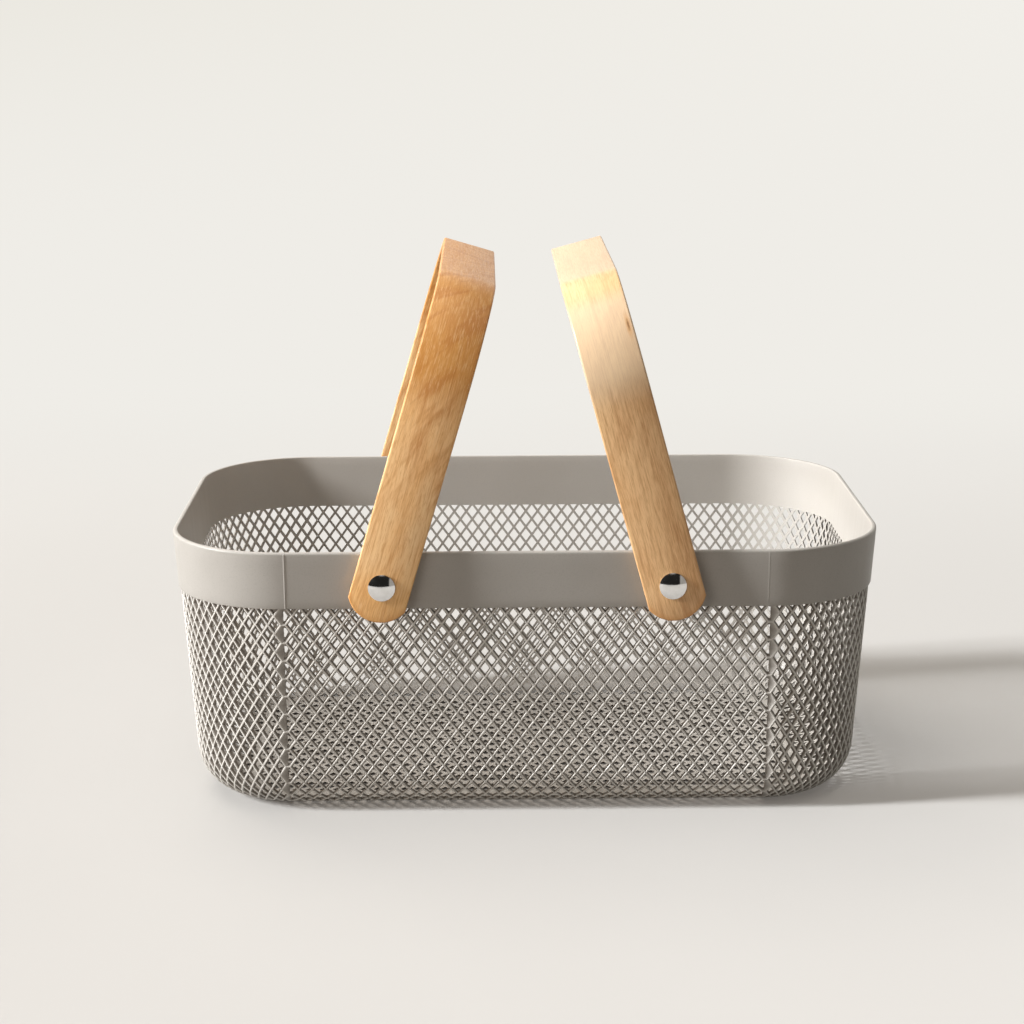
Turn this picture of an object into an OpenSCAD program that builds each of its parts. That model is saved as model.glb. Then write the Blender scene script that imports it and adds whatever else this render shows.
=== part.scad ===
// Mesh storage basket with two hinged bow handles.
// Millimetres. The basket stands on the plane z = 0, centred on x and y, long side along x.
// The front faces -y. The basket is one moulding, divided here along its mould's own lines.

/* [Basket] */
// Length over the rim
rim_l = 380; // [320:5:460]
// Width over the rim
rim_w = 248; // [220:4:300]
// Height of the basket to the top of its rim
basket_h = 146; // [120:2:190]
// Plan radius of the corners at the rim
corner_r = 64; // [56:1:72]
// Lean of the walls from the vertical, in degrees
draft = 4; // [2:0.5:6]
// Outside radius between the walls and the base
base_r = 26; // [20:1:30]

/* [Rim band] */
// Height of the smooth band below the rim
band_h = 30.5; // [28:0.5:38]
// Thickness of the band, measured level
band_t = 2.6; // [2.2:0.1:3]
// Bevel on the outer edge of the lip
lip_out = 1.4; // [0.6:0.1:1.6]
// Bevel on the inner edge of the lip
lip_in = 0.5; // [0.3:0.1:0.6]

/* [Lattice] */
// How far the lattice lies in from the band's outside
lattice_step = 1; // [0.6:0.1:1.2]
// Thickness of the lattice
lattice_t = 1.6; // [1.4:0.1:2.4]
// Width of one diamond cell
cell_w = 14.8; // [13:0.2:22]
// Height of one diamond cell
cell_h = 19; // [17:0.5:28]
// Open part of a cell, along its width and its height
open_share = 0.6; // [0.45:0.05:0.65]
// Plain strip between the band and the first row
edge_top = 1.2; // [0.8:0.2:3]
// Plain strip between the last row and the base
edge_low = 2; // [1:0.5:4]
// Plain strip around the base's diamonds
edge_base = 2.5; // [1.5:0.5:6]

/* [Handles] */
// Width of the bent strip
strip_w = 30.5; // [24:0.5:34]
// Thickness of the bent strip
strip_t = 4; // [3:0.5:5]
// Height of a bow from its pivot to its top
bow_h = 160; // [140:1:180]
// Outside radius of the two bends
bend_r = 55; // [40:1:60]
// Length of the strip beyond its pivot
tail_h = 19; // [17:0.5:20]
// Radius of the strip's rounded ends
tail_r = 17; // [17:0.5:24]
// Distance of the pivots from the middle of the basket
pivot_x = 75; // [70:1:85]
// Depth of the pivots below the rim
pivot_drop = 17.5; // [15:0.5:18]
// Lean of the left bow toward the middle, in degrees
lean_left = 16.5; // [5:0.5:20]
// Lean of the right bow toward the middle, in degrees
lean_right = 15.3; // [5:0.1:20]
// Gap between the rim and the strips
strip_gap = 0.6; // [0.4:0.1:1]

/* [Fasteners] */
// Diameter of the domed caps
cap_d = 14; // [12:0.5:16]
// Thickness of a cap at its edge
cap_edge = 0.8; // [0.6:0.1:1.2]
// Height of a cap's dome above its edge
cap_dome = 2.4; // [1.5:0.1:3.5]
// Diameter of the pivot barrels
barrel_d = 5; // [4.5:0.25:6]
// Radial running clearance of the strips on the barrels
run_gap = 0.08; // [0.04:0.01:0.1]
// Radial clearance of pieces that don't turn
seat_gap = 0.15; // [0.1:0.05:0.25]
// Diameter of the spacers behind the strips
spacer_d = 14; // [12:0.5:16]
// Thickness of the spacers
spacer_t = 1; // [0.8:0.1:1.4]
// Diameter of the flat bosses moulded on the band
boss_d = 18; // [17:0.5:20]
// Least height of the inner bosses above the band
boss_lip = 0.3; // [0.2:0.1:0.6]
// Diameter of the washers inside the basket
washer_d = 12; // [11:0.5:14]
// Thickness of the washers
washer_t = 0.8; // [0.6:0.1:1.2]
// Diameter of the screws' shanks
screw_d = 3; // [2.5:0.25:3.5]
// Length of a screw inside its barrel
screw_grip = 5; // [4:0.5:6]
// Diameter of the screws' heads
head_d = 8; // [7:0.5:9]
// Height of the screws' heads
head_h = 2; // [1.8:0.1:2.6]
// Length of each arm of the screws' cross recess
recess_l = 4.4; // [3.6:0.2:5]
// Width of the cross recess
recess_w = 0.9; // [0.7:0.1:1.1]
// Depth of the cross recess
recess_h = 1.1; // [0.8:0.1:1.3]

/* [Hidden] */
$fn = 96;
// Overrun of every cut
cut = 1;
// Overrun of the diamond cuts, enough for the walls' lean and bend
cell_cut = 2;
// Gap between a barrel's end and the washer it draws up
draw_gap = 0.4;
// Room beyond the tip of a screw
tip_room = 1;

plastic = [0.58, 0.57, 0.55];
wood = [0.82, 0.63, 0.40];
chrome = [0.80, 0.80, 0.82];
nylon = [0.92, 0.91, 0.88];
steel = [0.66, 0.66, 0.67];

// The corners' axes, which are the same at every height
core_x = rim_l / 2 - corner_r;
core_y = rim_w / 2 - corner_r;
lean_t = tan(draft);
lean_c = cos(draft);
lean_s = sin(draft);

// Distances out from the corners' axes at a height z
function band_out(z) = corner_r - (basket_h - z) * lean_t;
function net_out(z) = band_out(z) - lattice_step;

band_z = basket_h - band_h;
// Axis of the radius between wall and base
base_c = net_out(base_r) - base_r / lean_c;
// Where the straight wall ends and the radius starts
turn_z = base_r - base_r * lean_s;
run_straight = (band_z - turn_z) / lean_c;
run_turn = base_r * (90 - draft) * PI / 180;

// Rows of diamonds down a wall, evenly spread from the band to the base
open_h = cell_h * open_share;
run_rows = run_straight + run_turn - edge_top - edge_low - open_h;
row_n = floor(run_rows / (cell_h / 2)) + 1;
row_step = run_rows / (row_n - 1);

// Columns of diamonds, evenly spread over each stretch of wall
long_n = round(2 * core_x / cell_w);
long_step = 2 * core_x / long_n;
end_n = round(2 * core_y / cell_w);
end_step = 2 * core_y / end_n;
turn_n = floor(net_out(band_z) * PI / 2 / cell_w);
turn_step = 90 / turn_n;

// Pivot axes and the layers along them, measured from the middle plane
pivot_z = basket_h - pivot_drop;
strip_in = rim_w / 2 + strip_gap;
strip_out = strip_in + strip_t;
seat_out = strip_in - spacer_t;
seat_in = core_y + band_out(pivot_z) - band_t - boss_d / 2 * lean_t - boss_lip;
barrel_end = seat_in + draw_gap;
washer_in = seat_in - washer_t;
// Sphere that gives the cap its dome
dome_r = (cap_d * cap_d / 4 + cap_dome * cap_dome) / (2 * cap_dome);

// Section of the band, with x out from the corners' axes and y up
module band_section() {
  polygon([
    [band_out(band_z) - band_t, band_z],
    [band_out(band_z), band_z],
    [band_out(basket_h - lip_out), basket_h - lip_out],
    [band_out(basket_h) - lip_out, basket_h],
    [band_out(basket_h) - band_t + lip_in, basket_h],
    [band_out(basket_h - lip_in) - band_t, basket_h - lip_in]
  ]);
}

// Section of a lattice wall with the radius that ends it at the floor
module net_section() {
  inner_r = base_r - lattice_t;
  polygon([
    [base_c + inner_r * lean_c, base_r - inner_r * lean_s],
    [base_c + base_r * lean_c, turn_z],
    [net_out(band_z), band_z],
    [net_out(band_z) - lattice_t / lean_c, band_z]
  ]);
  translate([base_c, base_r])
    intersection() {
      difference() {
        circle(base_r);
        circle(inner_r);
      }
      polygon([
        [0, 0],
        [0, -2 * base_r],
        [2 * base_r, -2 * base_r],
        [2 * base_r * lean_c, -2 * base_r * lean_s]
      ]);
    }
}

// A wall along x on the +y side, from a section
module long_run() {
  translate([0, core_y, 0])
    rotate([90, 0, 90])
      linear_extrude(2 * core_x, center = true) children();
}

// A wall along y on the +x side, from a section
module end_run() {
  translate([core_x, 0, 0])
    rotate([90, 0, 0])
      linear_extrude(2 * core_y, center = true) children();
}

// The corner between the +x and the +y wall, from a section
module turn_run() {
  translate([core_x, core_y, 0])
    rotate_extrude(angle = 90) children();
}

// A diamond prism that points along x
module diamond(w) {
  rotate([90, 0, 90])
    linear_extrude(lattice_t + 2 * cell_cut, center = true)
      polygon([[w / 2, 0], [0, open_h / 2], [-w / 2, 0], [0, -open_h / 2]]);
}

// Where a row lies: out from the corners' axes, up, and its tilt
function row_run(j) = edge_top + open_h / 2 + j * row_step;
function row_tilt(j) = draft + (row_run(j) - run_straight) / base_r * 180 / PI;
function row_bends(j) = row_run(j) > run_straight;
function row_z(j) = row_bends(j)
  ? base_r - (base_r - lattice_t / 2) * sin(row_tilt(j))
  : band_z - row_run(j) * lean_c;
function row_out(j) = row_bends(j)
  ? base_c + (base_r - lattice_t / 2) * cos(row_tilt(j))
  : net_out(row_z(j)) - lattice_t / 2;

// A diamond of row j, ready to be moved along a wall or turned round a corner
module row_diamond(j, w) {
  translate([row_out(j), 0, row_z(j)])
    rotate([0, row_bends(j) ? row_tilt(j) : 0, 0]) diamond(w);
}

// Diamonds along a straight wall that faces +x, in staggered rows; odd rows leave out rim columns
module straight_diamonds(n, step, rim) {
  for (j = [0 : row_n - 1], i = [j % 2 * rim : n - 1 + j % 2 * (1 - rim)])
    translate([0, (i + (1 - j % 2) / 2 - n / 2) * step, 0])
      row_diamond(j, step * open_share);
}

// Diamonds round a corner; the first column stands on the edge of the end wall
module turn_diamonds() {
  for (j = [0 : row_n - 1], i = [0 : turn_n - 1])
    rotate([0, 0, (i + (1 - j % 2) / 2) * turn_step])
      row_diamond(j, row_out(j) * turn_step * PI / 180 * open_share);
}

// The band along the +y side, with its two seats and bores
module band_long() {
  color(plastic)
    difference() {
      union() {
        long_run() band_section();
        for (sx = [-1, 1])
          at_pivot(sx, 1) boss();
      }
      for (sx = [-1, 1])
        at_pivot(sx, 1)
          translate([0, 0, seat_in - cut])
            cylinder(d = barrel_d + 2 * seat_gap, h = seat_out - seat_in + 2 * cut);
    }
}

// The band round the +x end, with both corners
module band_end() {
  color(plastic)
    union() {
      end_run() band_section();
      turn_run() band_section();
      mirror([0, 1, 0]) turn_run() band_section();
    }
}

// Flat round seats on both faces of the band
module boss() {
  translate([0, 0, seat_in]) cylinder(d = boss_d, h = seat_out - seat_in);
}

// Moves a piece drawn along z to the pivot axis at the side (sx, sy), with z outward
module at_pivot(sx, sy) {
  translate([sx * pivot_x, 0, pivot_z])
    rotate([0, 0, sy > 0 ? 0 : 180])
      rotate([-90, 0, 0]) children();
}

module wall_long() {
  color(plastic)
    difference() {
      long_run() net_section();
      translate([0, core_y, 0])
        rotate([0, 0, 90]) straight_diamonds(long_n, long_step, 1);
    }
}

module wall_end() {
  color(plastic)
    difference() {
      end_run() net_section();
      translate([core_x, 0, 0]) straight_diamonds(end_n, end_step, 0);
    }
}

// The corner between the +x and the +y wall
module wall_corner() {
  color(plastic)
    difference() {
      turn_run() net_section();
      translate([core_x, core_y, 0]) turn_diamonds();
    }
}

// Outline of the base inside the radius, less a margin
module base_outline() {
  square([2 * core_x, 2 * (core_y + base_c)], center = true);
  square([2 * (core_x + base_c), 2 * core_y], center = true);
  for (sx = [-1, 1], sy = [-1, 1])
    translate([sx * core_x, sy * core_y]) circle(base_c);
}

// How far a point lies out from the rectangle between the corners' axes
function core_gap(x, y) = norm([max(abs(x) - core_x, 0), max(abs(y) - core_y, 0)]);

module base() {
  side_n = ceil((core_x + base_c) / long_step);
  rank_n = ceil((core_y + base_c) / (cell_h / 2));
  open_w = long_step * open_share;
  reach = base_c - edge_base;
  color(plastic)
    difference() {
      linear_extrude(lattice_t) base_outline();
      translate([0, 0, -cut])
        linear_extrude(lattice_t + 2 * cut)
          for (j = [-rank_n : rank_n], i = [-side_n : side_n]) {
            x = (i + (abs(j) % 2) / 2) * long_step;
            y = j * cell_h / 2;
            if (core_gap(abs(x) + open_w / 2, y) < reach && core_gap(x, abs(y) + open_h / 2) < reach)
              translate([x, y])
                polygon([[open_w / 2, 0], [0, open_h / 2], [-open_w / 2, 0], [0, -open_h / 2]]);
          }
    }
}

// One leg's outline as seen from the front: the strip and its rounded end
module tail_outline() {
  intersection() {
    translate([-strip_w / 2, -tail_h - cut]) square([strip_w, bow_h + tail_h + 2 * cut]);
    union() {
      translate([0, tail_r - tail_h]) circle(tail_r);
      translate([-strip_w, tail_r - tail_h]) square([2 * strip_w, bow_h + tail_h]);
    }
  }
}

// The strip bent to a bow, with its pivots on the y axis
module bow() {
  leg_top = bow_h - bend_r;
  flat_w = strip_out - bend_r;
  color(wood)
    difference() {
      intersection() {
        union() {
          for (m = [0, 1])
            mirror([0, m, 0]) {
              translate([-strip_w / 2, strip_in, -tail_h - cut])
                cube([strip_w, strip_t, leg_top + tail_h + cut]);
              translate([-strip_w / 2, flat_w, leg_top])
                rotate([90, 0, 90])
                  rotate_extrude(angle = 90)
                    translate([bend_r - strip_t, 0]) square([strip_t, strip_w]);
            }
          translate([-strip_w / 2, -flat_w, bow_h - strip_t])
            cube([strip_w, 2 * flat_w, strip_t]);
        }
        rotate([90, 0, 0])
          linear_extrude(2 * (strip_out + cut), center = true) tail_outline();
      }
      rotate([90, 0, 0])
        cylinder(d = barrel_d + 2 * run_gap, h = 2 * (strip_out + cut), center = true);
    }
}

module placed_bow(side, lean) {
  translate([side * pivot_x, 0, pivot_z])
    rotate([0, -side * lean, 0]) bow();
}

// Domed cap with the barrel that the strip turns on
module post() {
  color(chrome)
    difference() {
      union() {
        translate([0, 0, barrel_end]) cylinder(d = barrel_d, h = strip_out + cap_edge / 2 - barrel_end);
        translate([0, 0, strip_out]) cylinder(d = cap_d, h = cap_edge);
        translate([0, 0, strip_out + cap_edge])
          intersection() {
            translate([0, 0, cap_dome - dome_r]) sphere(dome_r);
            cylinder(d = cap_d + cut, h = dome_r);
          }
      }
      translate([0, 0, barrel_end - cut])
        cylinder(d = screw_d + 2 * seat_gap, h = screw_grip + tip_room + cut);
    }
}

module spacer() {
  color(nylon)
    translate([0, 0, seat_out])
      difference() {
        cylinder(d = spacer_d, h = spacer_t);
        translate([0, 0, -cut]) cylinder(d = barrel_d + 2 * seat_gap, h = spacer_t + 2 * cut);
      }
}

module washer() {
  color(steel)
    translate([0, 0, washer_in])
      difference() {
        cylinder(d = washer_d, h = washer_t);
        translate([0, 0, -cut]) cylinder(d = screw_d + 2 * seat_gap, h = washer_t + 2 * cut);
      }
}

// Pan-head screw with a cross recess, its head against the washer
module screw() {
  color(steel)
    difference() {
      union() {
        translate([0, 0, washer_in - head_h]) cylinder(d1 = head_d - head_h, d2 = head_d, h = head_h / 2);
        translate([0, 0, washer_in - head_h / 2]) cylinder(d = head_d, h = head_h / 2);
        translate([0, 0, washer_in - head_h / 2])
          cylinder(d = screw_d, h = barrel_end + screw_grip - washer_in + head_h / 2);
      }
      for (a = [0, 90])
        rotate([0, 0, a])
          translate([-recess_l / 2, -recess_w / 2, washer_in - head_h - cut])
            cube([recess_l, recess_w, recess_h + cut]);
    }
}

rotate([0, 0, 180]) band_long();  // band_front
band_long();  // band_back
rotate([0, 0, 180]) band_end();  // band_left
band_end();  // band_right
rotate([0, 0, 180]) wall_long();  // wall_front
wall_long();  // wall_back
rotate([0, 0, 180]) wall_end();  // wall_left
wall_end();  // wall_right
rotate([0, 0, 180]) wall_corner();  // corner_front_left
mirror([0, 1, 0]) wall_corner();  // corner_front_right
mirror([1, 0, 0]) wall_corner();  // corner_back_left
wall_corner();  // corner_back_right
base();  // base_panel
placed_bow(-1, lean_left);  // handle_left
placed_bow(1, lean_right);  // handle_right
at_pivot(-1, -1) post();  // post_front_left
at_pivot(1, -1) post();  // post_front_right
at_pivot(-1, 1) post();  // post_back_left
at_pivot(1, 1) post();  // post_back_right
at_pivot(-1, -1) spacer();  // spacer_front_left
at_pivot(1, -1) spacer();  // spacer_front_right
at_pivot(-1, 1) spacer();  // spacer_back_left
at_pivot(1, 1) spacer();  // spacer_back_right
at_pivot(-1, -1) washer();  // washer_front_left
at_pivot(1, -1) washer();  // washer_front_right
at_pivot(-1, 1) washer();  // washer_back_left
at_pivot(1, 1) washer();  // washer_back_right
at_pivot(-1, -1) screw();  // screw_front_left
at_pivot(1, -1) screw();  // screw_front_right
at_pivot(-1, 1) screw();  // screw_back_left
at_pivot(1, 1) screw();  // screw_back_right
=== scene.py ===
import math

import bmesh
import bpy
from mathutils import Matrix, Vector


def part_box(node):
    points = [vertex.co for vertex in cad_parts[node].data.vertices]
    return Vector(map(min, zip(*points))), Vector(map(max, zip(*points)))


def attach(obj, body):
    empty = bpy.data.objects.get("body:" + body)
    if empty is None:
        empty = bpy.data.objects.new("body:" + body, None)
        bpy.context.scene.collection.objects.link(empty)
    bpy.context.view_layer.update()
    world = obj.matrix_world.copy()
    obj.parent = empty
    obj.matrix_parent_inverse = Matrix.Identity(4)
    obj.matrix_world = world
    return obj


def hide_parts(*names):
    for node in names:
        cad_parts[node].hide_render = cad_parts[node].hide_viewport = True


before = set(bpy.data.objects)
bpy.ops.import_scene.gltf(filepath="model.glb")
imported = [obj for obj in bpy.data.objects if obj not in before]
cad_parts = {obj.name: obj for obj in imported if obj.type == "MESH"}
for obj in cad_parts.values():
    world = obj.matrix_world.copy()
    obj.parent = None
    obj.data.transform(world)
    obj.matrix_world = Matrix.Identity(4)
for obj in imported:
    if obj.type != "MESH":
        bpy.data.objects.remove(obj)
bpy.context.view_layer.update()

# Sizes of the basket and its bows, in millimetres as in the part; the meshes are scaled to metres at the end
MM = 0.001
CORE_X, CORE_Y = 126.0, 60.0
CORNER_R = 64.0
TOP_Z, BAND_Z = 146.0, 115.5
DRAFT = math.radians(4.0)
BAND_T, LIP_OUT, LIP_IN = 2.6, 1.4, 0.5
NET_STEP, NET_T, BASE_R = 1.0, 1.6, 26.0
PIVOT_X, PIVOT_Z = 75.0, 128.5
STRIP_W, STRIP_T, STRIP_OUT = 30.5, 4.0, 128.6
BOW_H, BEND_R, TAIL_H, TAIL_R = 160.0, 55.0, 19.0, 17.0
LEAN = {"left": 16.5, "right": 15.3}
SEAT_OUT, SEAT_IN, BOSS_R, BORE_R = 123.6, 119.247, 9.0, 2.65
CAP_R, CAP_EDGE, CAP_DOME, BARREL_R, SCREW_R, SCREW_RUN = 7.0, 0.8, 2.4, 2.5, 1.65, 6.0
# The angle between faces, in degrees, up to which each piece is shaded smooth
SMOOTH = {"net": 40.0, "rim": 30.0, "bow": 35.0, "cap": 30.0}


# Helpers

def new_object(name, data):
    obj = bpy.data.objects.new(name, data)
    bpy.context.scene.collection.objects.link(obj)
    return obj


def to_object(bm, name):
    """The mesh under construction, as an object of the scene."""
    mesh = bpy.data.meshes.new(name)
    bm.to_mesh(mesh)
    bm.free()
    return new_object(name, mesh)


def skin(bm, loops, closed=False):
    """Faces between loops of points that follow each other, and back to the first if closed."""
    for one, two in zip(loops, loops[1:] + loops[:1] if closed else loops[1:]):
        n = len(one)
        for k in range(n):
            bm.faces.new((one[k], two[k], two[(k + 1) % n], one[(k + 1) % n]))


def combine(obj, others, operation):
    """Joins the others to the object or cuts them from it, and removes them."""
    for other in others:
        mod = obj.modifiers.new("cut", "BOOLEAN")
        mod.operation = operation
        mod.solver = "EXACT"
        mod.object = other
    bpy.context.view_layer.update()
    deps = bpy.context.evaluated_depsgraph_get()
    mesh = bpy.data.meshes.new_from_object(obj.evaluated_get(deps))
    obj.modifiers.clear()
    obj.data = mesh
    for other in others:
        bpy.data.objects.remove(other)


def finish_mesh(obj, angle):
    """From millimetres to metres, with smooth shading up to an angle between faces."""
    mesh = obj.data
    mesh.transform(Matrix.Scale(MM, 4))
    mesh.shade_smooth()
    mesh.set_sharp_from_angle(angle=math.radians(angle))
    mesh.update()


def turned(bm, points, axis_x, axis_z, steps):
    """Loops turned about an axis along y from points (radius, y), closed by a face at the first."""
    loops = []
    for r, y in points:
        loops.append([
            bm.verts.new((
                axis_x + r * math.cos(math.tau * k / steps),
                y,
                axis_z + r * math.sin(math.tau * k / steps),
            ))
            for k in range(steps)
        ])
    skin(bm, loops)
    bm.faces.new(loops[0])
    return loops


ROD_BEVEL = 0.25


def rod(name, radius, ends, axis_x, axis_z, steps=64):
    """A round rod along y between two distances, with a small bevel at each end."""
    a, b = ends
    small = radius - ROD_BEVEL
    bm = bmesh.new()
    points = [(small, a), (radius, a + ROD_BEVEL), (radius, b - ROD_BEVEL), (small, b)]
    loops = turned(bm, points, axis_x, axis_z, steps)
    bm.faces.new(loops[-1][::-1])
    bmesh.ops.recalc_face_normals(bm, faces=bm.faces)
    return to_object(bm, name)


# Shape of the basket

def band_out(z):
    """Distance of the band's outer face from the corners' axes."""
    return CORNER_R - (TOP_Z - z) * math.tan(DRAFT)


# The bottom radius: its axis, and where the straight wall runs into it, as a height and a way down the wall
BASE_C = band_out(BASE_R) - NET_STEP - BASE_R / math.cos(DRAFT)
TURN_Z = BASE_R - BASE_R * math.sin(DRAFT)
RUN = (BAND_Z - TURN_Z) / math.cos(DRAFT)
RUN_ALL = RUN + BASE_R * (math.pi / 2 - DRAFT)


def tilt_at(s):
    return DRAFT + max(0.0, s - RUN) / BASE_R


def profile(s, d):
    """Distance out from the corners' axes, and height, of a point s down the wall and d in from its face."""
    tilt = tilt_at(s)
    if s < RUN:
        out, z = band_out(BAND_Z) - NET_STEP - s * math.sin(DRAFT), BAND_Z - s * math.cos(DRAFT)
        return out - d * math.cos(DRAFT), z + d * math.sin(DRAFT)
    return BASE_C + (BASE_R - d) * math.cos(tilt), BASE_R - (BASE_R - d) * math.sin(tilt)


# Lattice: its cells lie in rows down the wall, in two sets that are half a cell apart

ROW = 9.95
ROW_A, ROW_B = 4.1, -0.88
MOST_ROWS = 15
# Long wall: cells between its outermost crossings, and their span; ends: cells and their width
LONG_N, LONG_SPAN = 33, 244.0
CELL = LONG_SPAN / LONG_N
END_N, END_CELL = 16, 7.5
# From a seam to the nearest crossing of the wall, and of the front and the back corners, as an angle
SEAM_GAP = CORE_X - LONG_SPAN / 2
FRONT_FIRST, BACK_FIRST = math.radians(5.2), math.radians(2.8)
# The angle from which the cell across the seam is a wide one
WIDE_FROM = math.radians(4)
# Corners: cells round each, the radius at which they are laid out flat, and how much narrower the holes are
TURN_N, TURN_R, TURN_SQUEEZE = 13, 60.0, 0.97
# The rounded crest of a strand, as steps in from its middle and down from its top
CREST = ((0.0, 0.0), (0.27, 0.04), (0.43, 0.22))
# How far the holes stand in from the crests, and the largest share of the way to a cell's middle
HOLES = {"front": 1.00, "back": 0.70, "end": 0.90, "turn_front": 1.15, "turn_back": 0.84, "base": 1.10}
HOLE_MOST = 0.62
# The wide cell at a seam: its narrow end, the corners of its hole, the shallow web beside it, and the web's
# foot on the inner face, as a step along and a share of its height
SEAM_TIP = 0.3
SEAM_HOLE = ((2.63, 0.0, NET_T), (0.45, -3.05, NET_T), (0.45, 3.05, NET_T))
SEAM_WEB = ((-0.9, -3.4, 0.5), (-0.7, 0.0, 0.7), (-0.9, 3.4, 0.5))
WEB_STEP, WEB_SHARE = 0.15, 0.92
# The mould's draw down the bottom radius: the steepest tilt that counts, and the most that a hole moves
DRAW_TILT, DRAW_MOST = 1.2, 0.9
# The base: rows and columns of cells each way from the middle, its closed border, how far cells go past its
# edge, the share of a cell that keeps clear of the border, and the flats of each corner
BASE_ROWS, BASE_COLS, BASE_BORDER, BASE_PAST = 20, 24, 2.0, 8
BASE_CLEAR, BASE_FLATS = 0.6, 14


def inset(points, gap):
    """A convex outline moved inward by a gap."""
    pairs = list(zip(points, points[1:] + points[:1]))
    area = sum(x0 * y1 - x1 * y0 for (x0, y0), (x1, y1) in pairs)
    side = 1.0 if area > 0 else -1.0
    lines = []
    for (x0, y0), (x1, y1) in pairs:
        length = math.hypot(x1 - x0, y1 - y0)
        nx, ny = -side * (y1 - y0) / length, side * (x1 - x0) / length
        lines.append((nx, ny, nx * x0 + ny * y0 + gap))
    made = []
    for k in range(len(lines)):
        a1, b1, c1 = lines[k - 1]
        a2, b2, c2 = lines[k]
        det = a1 * b2 - a2 * b1
        made.append(((c1 * b2 - c2 * b1) / det, (a1 * c2 - a2 * c1) / det))
    return made


def crest_rings(outline):
    return [[(u, s, d) for u, s in (inset(outline, gap) if gap else outline)] for gap, d in CREST]


def cell_rings(p, q, hole, down=0.0, squeeze=1.0):
    """Rings of a diamond cell about its middle, from the crests through the funnel to the inner face."""
    outline = [(p, 0.0), (0.0, -q), (-p, 0.0), (0.0, q)]
    reach = p * q / math.hypot(p, q)
    inner = inset(outline, min(hole, HOLE_MOST * reach))
    rings = crest_rings(outline)
    rings.append([(u * squeeze, s + down, NET_T) for u, s in inner])
    rings.append([(u, s, NET_T) for u, s in outline])
    return rings


def place_cell(rings, u, s, stretch=1.0):
    return [[(u + a * stretch, s + b, d) for a, b, d in ring] for ring in rings]


def seam_rings(turn_first):
    """The wide cell that spans a mould seam: a shallow web on the corner's side, a hole on the other."""
    step = (math.pi / 2 - turn_first) / TURN_N
    tip, half = SEAM_GAP - CELL / 2, ROW / 2
    left = -TURN_R * turn_first
    near = min(-TURN_R * (turn_first - step / 2), tip - SEAM_TIP)
    outline = [(SEAM_GAP, 0.0), (tip, -half), (near, -half), (left, 0.0), (near, half), (tip, half)]
    inner, low, high = SEAM_HOLE
    foot = ((a + WEB_STEP, b * WEB_SHARE, NET_T) for a, b, _ in SEAM_WEB)
    rings = crest_rings(outline)
    rings.append([inner, low, *SEAM_WEB, high])
    rings.append([inner, low, *foot, high])
    rings.append([(a, b, NET_T) for a, b in outline])
    return rings


def slope_shift(s):
    """How far the draw of the mould moves the inner end of a pit down the bottom radius."""
    return min(NET_T * math.tan(min(tilt_at(s), DRAW_TILT)), DRAW_MOST) if s > RUN else 0.0


def row_list(first):
    return [first + ROW * k for k in range(MOST_ROWS) if first + ROW * k < RUN_ALL + ROW / 2]


def straight_cells(width, n, hole):
    """Cells of a straight wall, n of them between its outermost crossings."""
    cells = []
    for first, count, half in ((ROW_A, n, 0.5), (ROW_B, n + 1, 0.0)):
        for s in row_list(first):
            rings = cell_rings(width / 2, ROW / 2, hole, slope_shift(s))
            cells += [place_cell(rings, (k + half - n / 2) * width, s) for k in range(count)]
    return cells


def seam_cells(turn_first):
    """The cells across a seam: wide ones, or plain ones where the corner's first crossing is close to it."""
    left = -TURN_R * turn_first
    if turn_first < WIDE_FROM:
        rings, middle = cell_rings((SEAM_GAP - left) / 2, ROW / 2, HOLES["back"]), (left + SEAM_GAP) / 2
    else:
        rings, middle = seam_rings(turn_first), 0.0
    return [place_cell(rings, middle, s) for s in row_list(ROW_A)]


def mirrored(cells):
    """The same cells on the other end of a wall, with their faces still turned the same way."""
    return [[[(-a, b, d) for a, b, d in reversed(ring)] for ring in rings] for rings in cells]


def turn_cells(turn_first, hole):
    """Cells round a corner, laid out flat from its seam with the long wall."""
    step = (math.pi / 2 - turn_first) / TURN_N
    cells = []
    for first, count, half in ((ROW_A, TURN_N, 0.5), (ROW_B, TURN_N + 1, 0.0)):
        for s in row_list(first):
            out = profile(min(s, RUN_ALL), 0.0)[0]
            rings = cell_rings(step * out / 2, ROW / 2, hole, slope_shift(s), TURN_SQUEEZE)
            for k in range(count):
                angle = turn_first + (k + half) * step
                cells.append(place_cell(rings, -angle * TURN_R, s, TURN_R / out))
    return cells


def past_core(x, y):
    """How far a point of the base lies outside the corners' axes."""
    return math.hypot(max(x - CORE_X, 0), max(y - CORE_Y, 0))


def base_cells():
    """Cells of the flat base; those at its border are closed on both faces."""
    p, q = CELL / 2, ROW / 2
    rings = cell_rings(p, q, HOLES["base"])
    under = [rings[0], [(0, 0, 0)] * 4]
    lid = [[(0, 0, NET_T)] * 4, rings[-1]]
    cells = []
    for j in range(-BASE_ROWS, BASE_ROWS + 1):
        for i in range(-BASE_COLS, BASE_COLS + 1):
            x, y = (i + (j % 2) / 2) * CELL, j * q
            if past_core(abs(x), abs(y)) > BASE_C + BASE_PAST:
                continue
            if past_core(abs(x) + p * BASE_CLEAR, abs(y) + q * BASE_CLEAR) < BASE_C - BASE_BORDER:
                cells.append(place_cell(rings, x, y))
            else:
                cells += [place_cell(under, x, y), place_cell(lid, x, y)]
    return cells


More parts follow.
